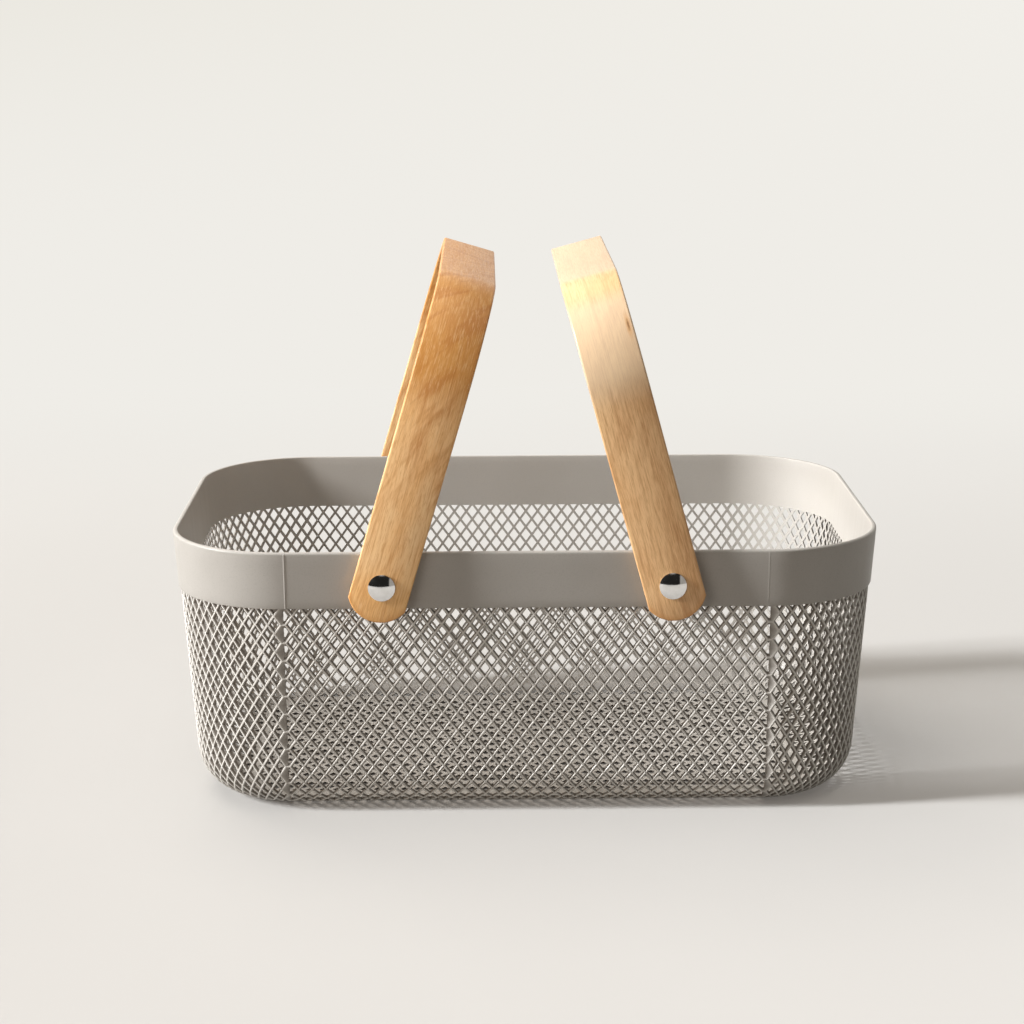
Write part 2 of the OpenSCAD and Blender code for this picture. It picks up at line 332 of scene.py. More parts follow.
def panel(name, node, cells, limits, place, flip=False):
    """A lattice panel: laid out flat, trimmed to its limits, then bent to its place."""
    bm = bmesh.new()
    for rings in cells:
        loops = [[bm.verts.new(point) for point in ring] for ring in rings]
        for one, two in zip(loops, loops[1:]):
            n = len(one)
            for k in range(n):
                bm.faces.new((one[k], one[(k + 1) % n], two[(k + 1) % n], two[k]))
    bmesh.ops.remove_doubles(bm, verts=bm.verts, dist=1e-3)
    for point, normal in limits:
        geom = bm.verts[:] + bm.edges[:] + bm.faces[:]
        bmesh.ops.bisect_plane(bm, geom=geom, dist=1e-5, plane_co=point, plane_no=normal, clear_outer=True)
    bmesh.ops.dissolve_degenerate(bm, dist=1e-4, edges=bm.edges)
    depth = []
    for vert in bm.verts:
        depth.append(vert.co.z)
        vert.co = place(*vert.co)
    if flip:
        bmesh.ops.reverse_faces(bm, faces=bm.faces)
    obj = to_object(bm, name)
    obj.data.attributes.new("pit", "FLOAT", "POINT").data.foreach_set("value", depth)
    finish_mesh(obj, SMOOTH["net"])
    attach(obj, "basket")
    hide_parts(node)
    return obj


def on_long(side):
    """Bends a flat panel to the front wall (side -1) or the back wall (side 1)."""
    def place(u, s, d):
        out, z = profile(s, d)
        return side * -u, side * (CORE_Y + out), z
    return place


def on_end(side):
    """Bends a flat panel to the left end (side -1) or the right end (side 1)."""
    def place(u, s, d):
        out, z = profile(s, d)
        return side * (CORE_X + out), side * u, z
    return place


def on_turn(sx, sy):
    """Bends a flat panel round the corner that lies on these sides."""
    def place(u, s, d):
        out, z = profile(s, d)
        angle = -u / TURN_R
        return sx * (CORE_X + out * math.sin(angle)), sy * (CORE_Y + out * math.cos(angle)), z
    return place


# Planes that trim a flat panel, as a point and a way out: its upper and lower edges, and its sides
RUN_LIMITS = [((0, 0, 0), (0, -1, 0)), ((0, RUN_ALL, 0), (0, 1, 0))]


def side_limits(reach):
    return [((-reach, 0, 0), (-1, 0, 0)), ((reach, 0, 0), (1, 0, 0))]


def build_walls():
    limits = RUN_LIMITS + side_limits(CORE_X)
    made = []
    for name, side, first in (("front", -1, FRONT_FIRST), ("back", 1, BACK_FIRST)):
        seam = [place_cell(rings, -CORE_X, 0.0) for rings in seam_cells(first)]
        cells = straight_cells(CELL, LONG_N, HOLES[name]) + seam + mirrored(seam)
        made.append(panel("net_" + name, "wall_" + name, cells, limits, on_long(side)))
    return made


def build_ends():
    limits = RUN_LIMITS + side_limits(CORE_Y)
    cells = straight_cells(END_CELL, END_N, HOLES["end"])
    return [
        panel("net_" + name, "wall_" + name, cells, limits, on_end(side))
        for name, side in (("right", 1), ("left", -1))
    ]


def build_corners():
    limits = RUN_LIMITS + [((0, 0, 0), (1, 0, 0)), ((-TURN_R * math.pi / 2, 0, 0), (-1, 0, 0))]
    made = []
    for depth, sy, first in (("front", -1, FRONT_FIRST), ("back", 1, BACK_FIRST)):
        cells = turn_cells(first, HOLES["turn_" + depth]) + seam_cells(first)
        for width, sx in (("left", -1), ("right", 1)):
            name = depth + "_" + width
            flip = sx != sy
            made.append(panel("net_corner_" + name, "corner_" + name, cells, limits, on_turn(sx, sy), flip))
    return made


def build_base():
    """The flat base, trimmed to its outline, whose corners are rows of short flats."""
    limits = [((sx * (CORE_X + BASE_C), 0, 0), (sx, 0, 0)) for sx in (-1, 1)]
    limits += [((0, sy * (CORE_Y + BASE_C), 0), (0, sy, 0)) for sy in (-1, 1)]
    for sx in (-1, 1):
        for sy in (-1, 1):
            for k in range(1, BASE_FLATS):
                angle = k * math.pi / (2 * BASE_FLATS)
                normal = (sx * math.sin(angle), sy * math.cos(angle), 0)
                point = (sx * CORE_X + BASE_C * normal[0], sy * CORE_Y + BASE_C * normal[1], 0)
                limits.append((point, normal))
    return panel("net_base", "base_panel", base_cells(), limits, lambda u, s, d: (u, s, d))


# Rim band

# The rounded lower edge of its outer face, as steps out and up
LOWER_EDGE = ((-0.35, 0.0), (-0.1, 0.1), (0.0, 0.4))
FACE_STEPS, LIP_OUT_STEPS, LIP_IN_STEPS = 6, 6, 3
# Ribs along the mould's parting lines: their middle, their section as steps along and out, and the share
# of their height that the right ones keep
RIB_X = CORE_X - 0.75
RIB = ((-0.75, 0.0), (-0.5, 0.0), (-0.25, 0.14), (0.0, 0.2), (0.25, 0.14), (0.5, 0.0), (0.75, 0.0))
RIB_WORN = 0.35
LONG_STEPS, END_STEPS, TURN_STEPS = 12, 6, 32
# The bores through the band, in y, and their sides
BORE_REACH, BORE_STEPS = (110.0, 140.0), 40


def rim_section():
    """Points of the band's section: steps out from its outer face, height, and 1 where the ribs show."""
    points = [(-BAND_T, BAND_Z, 0)]
    points += [(offset, BAND_Z + up, 1 if up else 0) for offset, up in LOWER_EDGE]
    rise = TOP_Z - LIP_OUT - BAND_Z
    points += [(0.0, BAND_Z + k * rise / FACE_STEPS, 1) for k in range(1, FACE_STEPS)]
    for k in range(LIP_OUT_STEPS + 1):
        t = math.pi / 2 * k / LIP_OUT_STEPS
        ribbed = 1 if k < LIP_OUT_STEPS / 2 else 0
        points.append((LIP_OUT * (math.cos(t) - 1), TOP_Z - LIP_OUT + LIP_OUT * math.sin(t), ribbed))
    for k in range(LIP_IN_STEPS + 1):
        t = math.pi / 2 * k / LIP_IN_STEPS
        points.append((-BAND_T + LIP_IN * (1 - math.sin(t)), TOP_Z - LIP_IN + LIP_IN * math.cos(t), 0))
    fall = TOP_Z - LIP_IN - BAND_Z
    points += [(-BAND_T, TOP_Z - LIP_IN - k * fall / FACE_STEPS, 0) for k in range(1, FACE_STEPS)]
    return points


def rim_stations():
    """Stations round the plan, counter-clockwise from the front: point on the core, way out, rib's height."""
    long_run = [(-RIB_X + x, rib) for x, rib in RIB]
    long_run += [(k * 2 * CORE_X / LONG_STEPS - CORE_X, 0.0) for k in range(1, LONG_STEPS)]
    long_run += [(RIB_X + x, rib) for x, rib in RIB]
    quarter = [math.pi / 2 * k / TURN_STEPS for k in range(1, TURN_STEPS)]
    stations = []
    for sign in (-1, 1):
        for x, rib in long_run:
            worn = 1.0 if sign * x > 0 else RIB_WORN
            stations.append((Vector((-sign * x, sign * CORE_Y)), Vector((0, sign)), rib * worn))
        for angle in quarter:
            way = Vector((-sign * math.sin(angle), sign * math.cos(angle)))
            stations.append((Vector((-sign * CORE_X, sign * CORE_Y)), way, 0.0))
        for k in range(END_STEPS + 1):
            core = Vector((-sign * CORE_X, sign * CORE_Y * (1 - 2 * k / END_STEPS)))
            stations.append((core, Vector((-sign, 0)), 0.0))
        for angle in quarter:
            way = Vector((-sign * math.cos(angle), -sign * math.sin(angle)))
            stations.append((Vector((-sign * CORE_X, -sign * CORE_Y)), way, 0.0))
    return stations


def build_rim():
    """The band with its lip and ribs, and the seats and bores of the four pivots."""
    section = rim_section()
    bm = bmesh.new()
    loops = []
    for core, way, rib in rim_stations():
        loop = []
        for offset, z, ribbed in section:
            out = band_out(z) + offset + rib * ribbed
            loop.append(bm.verts.new((core.x + way.x * out, core.y + way.y * out, z)))
        loops.append(loop)
    skin(bm, loops, closed=True)
    bmesh.ops.remove_doubles(bm, verts=bm.verts, dist=1e-4)
    bmesh.ops.recalc_face_normals(bm, faces=bm.faces)
    obj = to_object(bm, "rim_moulding")
    pads, bores = [], []
    for x in (-PIVOT_X, PIVOT_X):
        for sy in (-1, 1):
            pads.append(rod("pad", BOSS_R, sorted((sy * SEAT_IN, sy * SEAT_OUT)), x, PIVOT_Z))
            bores.append(rod("bore", BORE_R, sorted(sy * y for y in BORE_REACH), x, PIVOT_Z, BORE_STEPS))
    combine(obj, pads, "UNION")
    combine(obj, bores, "DIFFERENCE")
    finish_mesh(obj, SMOOTH["rim"])
    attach(obj, "basket")
    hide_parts("band_front", "band_back", "band_left", "band_right")
    return obj


# Bows

LEG = BOW_H - BEND_R
TURN_LEN = BEND_R * math.pi / 2
FLAT = 2 * (STRIP_OUT - BEND_R)
STRIP_LEN = 2 * (LEG + TURN_LEN) + FLAT
STRIP_BEVEL, BEVEL_STEPS = 1.0, 3
# The rounded end: the angle from its middle to where the strip is at its full width, and its rows
WIDEST, TAIL_STEPS = math.asin(STRIP_W / 2 / TAIL_R), 18
# Rows along the leg, the bend and the flat top
LEG_FIRST, LEG_STEP, LEG_ROWS, BEND_STEPS, FLAT_STEPS = -5.0, 10.0, 12, 28, 20
DRILL_R, DRILL_ENDS = 2.58, (-5.0, 9.0)


def strip_rows():
    """Rows of half the strip: angles round its rounded end, then distances along it from the bore."""
    rows = [("end", k / TAIL_STEPS * WIDEST) for k in range(TAIL_STEPS + 1)]
    stops = [LEG_FIRST + k * LEG_STEP for k in range(LEG_ROWS)]
    stops += [LEG + TURN_LEN * k / BEND_STEPS for k in range(BEND_STEPS + 1)]
    stops += [LEG + TURN_LEN + FLAT * k / FLAT_STEPS for k in range(1, FLAT_STEPS // 2 + 1)]
    return rows + [("run", stop) for stop in stops if stop < STRIP_LEN / 2]


def row_point(row, gap):
    """A row's half-width and place along the strip, on an outline that stands in by a gap."""
    kind, value = row
    if kind == "run":
        return STRIP_W / 2 - gap, value
    angle = value / WIDEST * math.asin((STRIP_W / 2 - gap) / (TAIL_R - gap))
    return (TAIL_R - gap) * math.sin(angle), TAIL_R - TAIL_H - (TAIL_R - gap) * math.cos(angle)


def flat_strip(name):
    """The strip laid out flat: across, along from the first bore, and in from its outer face."""
    layers = []
    for k in range(BEVEL_STEPS + 1):
        t = math.pi / 2 * k / BEVEL_STEPS
        layers.append((STRIP_BEVEL * (1 - math.sin(t)), STRIP_BEVEL * (1 - math.cos(t))))
    layers += [(gap, STRIP_T - d) for gap, d in reversed(layers)]
    rows = strip_rows()
    bm = bmesh.new()
    loops = []
    for row, far in [(row, False) for row in rows] + [(row, True) for row in reversed(rows)]:
        loop = []
        for side, order in ((-1, layers), (1, layers[::-1])):
            for gap, d in order:
                c, run = row_point(row, gap)
                loop.append(bm.verts.new((side * c, STRIP_LEN - run if far else run, d)))
        loops.append(loop)
    skin(bm, loops)
    bmesh.ops.remove_doubles(bm, verts=bm.verts, dist=1e-3)
    bmesh.ops.recalc_face_normals(bm, faces=bm.faces)
    return to_object(bm, name)


def strip_point(c, run, d):
    """A point of the flat strip, bent to the bow: across, along y, up."""
    side = 1.0
    if run > STRIP_LEN / 2:
        run, side = STRIP_LEN - run, -1.0
    if run < LEG:
        y, z = -STRIP_OUT + d, run
    elif run < LEG + TURN_LEN:
        t = (run - LEG) / BEND_R
        y, z = -STRIP_OUT + BEND_R - (BEND_R - d) * math.cos(t), LEG + (BEND_R - d) * math.sin(t)
    else:
        y, z = -STRIP_OUT + BEND_R + run - LEG - TURN_LEN, BOW_H - d
    return Vector((c, y * side, z))


def build_bow(side):
    """A bow, drilled while flat, then bent and leaned; its flat places, in millimetres, stay as its grain."""
    sign = -1 if side == "left" else 1
    obj = flat_strip("bow_" + side)
    drills = []
    for run in (0.0, STRIP_LEN):
        drill = rod("drill", DRILL_R, DRILL_ENDS, 0.0, 0.0, BORE_STEPS)
        drill.data.transform(Matrix.Translation((0, run, 0)) @ Matrix.Rotation(math.pi / 2, 4, "X"))
        drills.append(drill)
    combine(obj, drills, "DIFFERENCE")
    grain = obj.data.attributes.new("grain", "FLOAT_VECTOR", "POINT")
    lean = Matrix.Rotation(math.radians(-sign * LEAN[side]), 4, "Y")
    put = Matrix.Translation((sign * PIVOT_X, 0, PIVOT_Z)) @ lean
    for vert, value in zip(obj.data.vertices, grain.data):
        flat = tuple(vert.co)
        value.vector = flat
        vert.co = put @ strip_point(*flat)
    finish_mesh(obj, SMOOTH["bow"])
    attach(obj, side + "_bow")
    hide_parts("handle_" + side)
    return obj


# Caps

CAP_STEPS, DOME_STEPS = 72, 14
# Small bevels: at the barrel's end, at the cap's back edge and at its front edge
BARREL_BEVEL, CAP_BEVEL, CAP_BREAK = 0.2, 0.12, 0.1


def build_post(name):
    """Domed cap with its barrel, turned about the pivot's axis."""
    lo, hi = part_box(name)
    side = -1 if "front" in name else 1
    inner = min(abs(lo[1]), abs(hi[1])) / MM
    x = -PIVOT_X if "left" in name else PIVOT_X
    edge = STRIP_OUT + CAP_EDGE
    top = edge + CAP_DOME
    dome = (CAP_R * CAP_R + CAP_DOME * CAP_DOME) / (2 * CAP_DOME)
    turn = math.asin(CAP_R / dome)
    points = [
        (SCREW_R, inner + SCREW_RUN), (SCREW_R, inner),
        (BARREL_R - BARREL_BEVEL, inner), (BARREL_R, inner + BARREL_BEVEL), (BARREL_R, STRIP_OUT),
        (CAP_R - CAP_BEVEL, STRIP_OUT), (CAP_R, STRIP_OUT + CAP_BEVEL), (CAP_R, edge - CAP_BREAK),
    ]
    for angle in (turn * k / DOME_STEPS for k in range(DOME_STEPS, 0, -1)):
        points.append((dome * math.sin(angle), top - dome + dome * math.cos(angle)))
    bm = bmesh.new()
    loops = turned(bm, [(r, side * y) for r, y in points], x, PIVOT_Z, CAP_STEPS)
    pole = bm.verts.new((x, side * top, PIVOT_Z))
    for k in range(CAP_STEPS):
        bm.faces.new((loops[-1][k], pole, loops[-1][(k + 1) % CAP_STEPS]))
    bmesh.ops.recalc_face_normals(bm, faces=bm.faces)
    obj = to_object(bm, name.replace("post", "cap"))
    finish_mesh(obj, SMOOTH["cap"])
    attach(obj, "basket")
    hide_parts(name)
    return obj


# Materials

class Tree:
    """A node tree under construction."""

    def __init__(self, tree):
        self.nodes, self.links = tree.nodes, tree.links
        self.nodes.clear()

    def add(self, kind, sockets=None, **props):
        node = self.nodes.new("ShaderNode" + kind)
        for key, value in props.items():
            setattr(node, key, value)
        self.plug(node, sockets or {})
        return node

    def plug(self, node, sockets):
        for key, value in sockets.items():
            if isinstance(value, bpy.types.NodeSocket):
                self.links.new(value, node.inputs[key])
            else:
                node.inputs[key].default_value = value

    def math(self, operation, a, b=0.0):
        return self.add("Math", {0: a, 1: b}, operation=operation).outputs[0]

    def vectors(self, operation, a, b=(0.0, 0.0, 0.0)):
        return self.add("VectorMath", {0: a, 1: b}, operation=operation).outputs["Vector"]

    def length(self, a):
        return self.add("VectorMath", {0: a}, operation="LENGTH").outputs["Value"]

    def remap(self, value, low, high, to_low=0.0, to_high=1.0, smooth=False):
        kind = "SMOOTHSTEP" if smooth else "LINEAR"
        sockets = {"Value": value, "From Min": low, "From Max": high, "To Min": to_low, "To Max": to_high}
        return self.add("MapRange", sockets, interpolation_type=kind).outputs["Result"]

    def mix(self, share, one, two):
        return self.add("Mix", {0: share, 6: one, 7: two}, data_type="RGBA").outputs[2]

    def blend(self, share, one, two):
        return self.add("MixShader", {0: share, 1: one, 2: two}).outputs[0]

    def noise(self, vector, scale, detail=3.0, rough=0.5):
        sockets = {"Vector": vector, "Scale": scale, "Detail": detail, "Roughness": rough}
        return self.add("TexNoise", sockets).outputs["Fac"]

    def stretch(self, vector, scale, move=(0, 0, 0)):
        return self.add("Mapping", {"Vector": vector, "Scale": scale, "Location": move}).outputs["Vector"]

    def bump(self, height, distance, strength, after=None):
        sockets = {"Height": height, "Distance": distance, "Strength": strength}
        if after is not None:
            sockets["Normal"] = after
        return self.add("Bump", sockets).outputs["Normal"]


class Shader(Tree):
    """A material of one principled surface, under construction."""

    def __init__(self, name, **sockets):
        self.mat = bpy.data.materials.new(name)
        self.mat.use_nodes = True
        super().__init__(self.mat.node_tree)
        self.out = self.add("OutputMaterial")
        self.bsdf = self.add("BsdfPrincipled")
        self.plug(self.bsdf, {key.replace("_", " "): value for key, value in sockets.items()})
        self.plug(self.out, {"Surface": self.bsdf.outputs["BSDF"]})

    def where(self):
        """A place on the object, in metres."""
        return self.add("TexCoord").outputs["Object"]

    def finish(self, tone, rough, normal):
        self.plug(self.bsdf, {"Base Color": tone, "Roughness": rough, "Normal": normal})
        return self.mat


def rgb(r, g, b):
    return (r, g, b, 1.0)


# The two tones that the plastic drifts between, and the tone of its specks
PLASTIC_LOW, PLASTIC_HIGH, PLASTIC_SPECK = (0.398, 0.378, 0.348), (0.438, 0.418, 0.388), (0.30, 0.285, 0.26)


def plastic_material(name, gain, shade):
    """Moulded grey plastic, its tone times a gain; shade adds the painted highlights and painted shade that
    only the rim or the lattice has.
    """
    sh = Shader(name, IOR=1.5)
    where = sh.where()
    cloud = sh.noise(where, 22.0, 3.0, 0.55)
    speck = sh.noise(where, 1400.0, 2.0, 0.6)
    drag = sh.noise(sh.stretch(where, (260.0, 260.0, 9.0)), 1.0, 3.0, 0.6)
    low, high = (rgb(*(c * gain for c in tint)) for tint in (PLASTIC_LOW, PLASTIC_HIGH))
    tone = sh.mix(sh.remap(cloud, 0.3, 0.7), low, high)
    tone = sh.mix(sh.remap(speck, 0.52, 0.72, 0.0, 0.35), tone, rgb(*PLASTIC_SPECK))
    # Painted highlights and painted shade of the rim or the lattice
    tone = shade(sh, tone)
    grained = sh.math("ADD", sh.math("MULTIPLY", drag, 0.6), sh.math("MULTIPLY", cloud, 0.4))
    rough = sh.remap(grained, 0.3, 0.7, 0.38, 0.54)
    normal = sh.bump(speck, 0.00002, 0.5)
    normal = sh.bump(sh.noise(sh.stretch(where, (60.0, 60.0, 14.0)), 1.0, 2.0), 0.00008, 0.5, normal)
    return sh.finish(tone, rough, normal)


def net_painted_light(sh, tone):
    """Painted highlight on the crests, and painted shade on the walls in the pits, by the depth that the
    panels keep in millimetres.
    """
    pit = sh.add("Attribute", attribute_name="pit").outputs["Fac"]
    # Painted highlight: the crests are made paler
    tone = sh.mix(sh.remap(pit, 0.0, 0.30, 0.9, 0.0), tone, rgb(0.76, 0.74, 0.70))
    # Painted shade: the walls in the pits are made darker
    wall = sh.math("MULTIPLY", sh.remap(pit, 0.28, 0.75), sh.remap(pit, 1.45, 1.59, 1.0, 0.0))
    return sh.mix(sh.math("MULTIPLY", wall, 0.82), tone, rgb(0.155, 0.133, 0.11))


def rim_painted_light(sh, tone):
    """A painted highlight along the lip, and painted light that makes the inner face paler than the outer
    face.
    """
    where = sh.where()
    height = sh.add("SeparateXYZ", {0: where}).outputs["Z"]
    # Painted highlight along the top of the lip
    lip = sh.remap(height, (TOP_Z - 1.2) * MM, (TOP_Z - 0.1) * MM, 0.0, 0.25)
    tone = sh.mix(lip, tone, rgb(0.62, 0.60, 0.57))
    # Painted light on the inner face of the band
    past = sh.vectors("SUBTRACT", sh.vectors("ABSOLUTE", where), (CORE_X * MM, CORE_Y * MM, 1.0))
    out = sh.length(sh.vectors("MAXIMUM", past))
    level = sh.math("SUBTRACT", out, sh.math("MULTIPLY", height, math.tan(DRAFT)))
    face = (band_out(0.0) - BAND_T) * MM
    inside = sh.remap(level, face + 0.0002, face + 0.0008, 0.36, 0.0)
    return sh.mix(inside, tone, rgb(0.62, 0.59, 0.545))


# Wood of each bow: a seed, its lacquer and tones, and how much rings, bands, streaks, fibres and pores show
WOOD = {
    "left": {
        "seed": 1.0, "coat": 0.12,
        "light": (0.99, 0.68, 0.36), "mid": (0.97, 0.58, 0.25), "dark": (0.60, 0.235, 0.055),
        "rings": 0.16, "bands": 0.66, "streaks": 0.46, "fibres": 0.30, "pores": 0.48,
    },
    "right": {
        "seed": 2.7, "coat": 0.3,
        "light": (0.91, 0.61, 0.32), "mid": (0.81, 0.49, 0.23), "dark": (0.46, 0.19, 0.055),
        "rings": 0.12, "bands": 0.22, "streaks": 0.50, "fibres": 0.46, "pores": 0.40,
    },
}
# Painted sheen on the right bow where the leg turns into the bend, then a golden tone round the bend, by the
# distance from the nearer bore: where each rises and falls, its share and tone
BEND_SHEEN_AND_TONES = (
    ((94.0, 116.0), (150.0, 170.0), 0.62, (0.79, 0.63, 0.445)),
    ((152.0, 170.0), (174.0, 190.0), 0.45, (0.74, 0.50, 0.22)),
)
# A knot of the right bow: its place across and along, and its half-width each way
KNOT_AT, KNOT_SIZE = (12.7, 137.5), (0.8, 4.2)


def growth_rings(sh, moved, across, along, deep):
    """Late wood of rings about an axis below the strip, cut at a slant so that they open into arches."""
    sway = sh.noise(sh.stretch(moved, (0.03, 0.008, 0.03)), 1.0, 1.0, 0.4)
    warp = sh.noise(sh.stretch(moved, (0.25, 0.02, 0.25)), 1.0, 2.0, 0.5)
    centre = sh.math("ADD", across, sh.remap(sway, 0.25, 0.75, -14.0, 14.0))
    under = sh.math("ADD", sh.math("ADD", deep, 34.0), sh.remap(sway, 0.25, 0.75, 8.0, -8.0))
    wave = sh.math("MULTIPLY", sh.math("SINE", sh.math("MULTIPLY", along, 0.013)), 12.0)
    under = sh.math("ADD", under, wave)
    squares = sh.math("ADD", sh.math("MULTIPLY", centre, centre), sh.math("MULTIPLY", under, under))
    radius = sh.math("ADD", sh.math("SQRT", squares), sh.math("MULTIPLY", warp, 1.6))
    ring = sh.math("FRACT", sh.math("DIVIDE", radius, 4.4))
    late = sh.remap(ring, 0.35, 0.85, smooth=True)
    late = sh.math("MULTIPLY", late, sh.remap(ring, 0.85, 1.0, 1.0, 0.0, smooth=True))
    fleck = sh.noise(sh.stretch(moved, (0.09, 0.02, 0.09)), 1.0, 2.0, 0.5)
    return sh.math("MULTIPLY", late, sh.remap(fleck, 0.38, 0.62, 0.25, 1.0))


def slant_bands(sh, across, along, tail, seed):
    """Soft bands, steep in the legs and lying more across toward the bend, as beside a branch."""
    bent = sh.math("MULTIPLY", sh.math("MULTIPLY", tail, tail), 0.0003)
    bent = sh.math("ADD", sh.math("MULTIPLY", tail, 0.008), bent)
    place = sh.add("CombineXYZ", {
        0: sh.math("SUBTRACT", sh.math("MULTIPLY", across, 0.11), bent),
        1: sh.math("ADD", sh.math("MULTIPLY", across, 0.014), sh.math("MULTIPLY", along, 0.016)),
        2: seed,
    })
    return sh.noise(place.outputs[0], 1.0, 3.0, 0.55)


def heartwood(sh, tail, cloud, tone):
    """The left bow's own stretches: redder from the bend on, golden at its feet."""
    bent = sh.mix(sh.remap(cloud, 0.3, 0.7), rgb(0.81, 0.415, 0.135), rgb(0.69, 0.315, 0.08))
    tone = sh.mix(sh.remap(tail, 88.0, 118.0, smooth=True), tone, bent)
    return sh.mix(sh.remap(tail, 14.0, -6.0, 0.0, 0.5, smooth=True), tone, rgb(0.97, 0.54, 0.17))


def bend_sheen_and_tones(sh, tail, tone):
    """The right bow's painted sheen where the leg turns into the bend, a golden tone round the bend, and a
    paler, less orange tone on the top.
    """
    for rise, fall, share, tint in BEND_SHEEN_AND_TONES:
        # Painted sheen on the bend, then the golden tone round it
        risen, fallen = sh.remap(tail, *rise, smooth=True), sh.remap(tail, *fall, 1.0, 0.0, smooth=True)
        tone = sh.mix(sh.math("MULTIPLY", sh.math("MULTIPLY", risen, fallen), share), tone, rgb(*tint))
    return sh.mix(sh.remap(tail, 181.0, 189.0, 0.0, 0.6, smooth=True), tone, rgb(0.68, 0.53, 0.37))


def darkened_ends(sh, across, tail, tone):
    """Darker and browner in a band round the rounded ends."""
    out = sh.add("CombineXYZ", {0: across, 1: sh.math("ADD", tail, TAIL_H - TAIL_R), 2: 0.0})
    edge = sh.remap(sh.length(out.outputs[0]), TAIL_R - 4.0, TAIL_R, smooth=True)
    edge = sh.math("MULTIPLY", edge, sh.remap(tail, -4.0, -9.0, 0.0, 0.5))
    return sh.mix(edge, tone, rgb(0.60, 0.24, 0.05))


def knot_spot(sh, grain, across, along, tone):
    """A small dark knot in a warm halo."""
    a = sh.math("DIVIDE", sh.math("SUBTRACT", across, KNOT_AT[0]), KNOT_SIZE[0])
    b = sh.math("DIVIDE", sh.math("SUBTRACT", along, KNOT_AT[1]), KNOT_SIZE[1])
    far = sh.math("SQRT", sh.math("ADD", sh.math("MULTIPLY", a, a), sh.math("MULTIPLY", b, b)))
    far = sh.math("ADD", far, sh.math("MULTIPLY", sh.noise(grain, 0.6), 0.7))
    tone = sh.mix(sh.remap(far, 1.0, 2.6, 0.6, 0.0), tone, rgb(0.62, 0.30, 0.09))
    return sh.mix(sh.remap(far, 0.6, 1.3, 0.85, 0.0), tone, rgb(0.22, 0.10, 0.03))


def wood_material(side):
    """Lacquered wood; the grain runs along the strip and follows it round the bends."""
    wood = WOOD[side]
    seed = wood["seed"]
    light, mid, dark = (rgb(*wood[key]) for key in ("light", "mid", "dark"))
    sh = Shader("wood_" + side, IOR=1.45, Coat_Weight=wood["coat"], Coat_Roughness=0.36)
    grain = sh.add("Attribute", attribute_name="grain").outputs["Vector"]
    across, along, deep = sh.add("SeparateXYZ", {0: grain}).outputs
    tail = sh.math("MINIMUM", along, sh.math("SUBTRACT", STRIP_LEN, along))
    moved = sh.stretch(grain, (1.0, 1.0, 1.0), (seed * 37.0, seed * 91.0, seed * 17.0))
    streak = sh.noise(sh.stretch(moved, (0.42, 0.011, 0.42)), 1.0, 3.0, 0.65)
    fibre = sh.noise(sh.stretch(moved, (1.5, 0.06, 1.5)), 1.0, 3.0, 0.6)
    pores = sh.noise(sh.stretch(moved, (2.5, 0.17, 2.5)), 1.0, 2.0, 0.6)
    cloud = sh.noise(sh.stretch(moved, (0.06, 0.02, 0.06)), 1.0, 2.0, 0.5)
    tone = sh.mix(sh.remap(cloud, 0.3, 0.7), light, mid)
    if side == "left":
        tone = heartwood(sh, tail, cloud, tone)
    late = growth_rings(sh, moved, across, along, deep)
    tone = sh.mix(sh.math("MULTIPLY", late, wood["rings"]), tone, dark)
    bands = slant_bands(sh, across, along, tail, seed)
    tone = sh.mix(sh.remap(bands, 0.50, 0.66, 0.0, wood["bands"], smooth=True), tone, dark)
    tone = sh.mix(sh.remap(streak, 0.50, 0.66, 0.0, wood["streaks"]), tone, dark)
    tone = sh.mix(sh.remap(fibre, 0.50, 0.66, 0.0, wood["fibres"]), tone, dark)
    tone = sh.mix(sh.remap(pores, 0.52, 0.66, 0.0, wood["pores"]), tone, dark)
    tone = sh.mix(sh.remap(pores, 0.46, 0.34, 0.0, 0.45), tone, light)
    if side == "right":
        tone = bend_sheen_and_tones(sh, tail, tone)
    tone = darkened_ends(sh, across, tail, tone)
    if side == "right":
        tone = knot_spot(sh, grain, across, along, tone)
    normal = sh.bump(pores, 0.00004, 0.4, sh.bump(fibre, 0.00006, 0.55))
    return sh.finish(tone, sh.remap(fibre, 0.3, 0.7, 0.30, 0.46), normal)


def chrome_material():
    sh = Shader("chrome_caps", Metallic=1.0)
    where = sh.where()
    haze = sh.noise(where, 180.0, 3.0, 0.6)
    hair = sh.noise(sh.stretch(where, (900.0, 60.0, 5200.0)), 1.0, 2.0, 0.6)
    tone = sh.mix(sh.remap(haze, 0.35, 0.65), rgb(0.66, 0.65, 0.63), rgb(0.77, 0.765, 0.76))
    worn = sh.math("ADD", sh.math("MULTIPLY", haze, 0.5), sh.math("MULTIPLY", hair, 0.5))
    return sh.finish(tone, sh.remap(worn, 0.35, 0.7, 0.05, 0.15), sh.bump(hair, 0.000004, 0.3))


def steel_material():
    sh = Shader("zinc_screws", Metallic=1.0)
    where = sh.where()
    haze = sh.noise(where, 420.0, 3.0, 0.6)
    lathe = sh.noise(sh.stretch(where, (300.0, 4000.0, 300.0)), 1.0, 2.0, 0.6)
    tone = sh.mix(sh.remap(haze, 0.35, 0.65), rgb(0.50, 0.50, 0.50), rgb(0.66, 0.66, 0.65))
    return sh.finish(tone, sh.remap(lathe, 0.3, 0.7, 0.26, 0.42), sh.bump(lathe, 0.00001, 0.4))


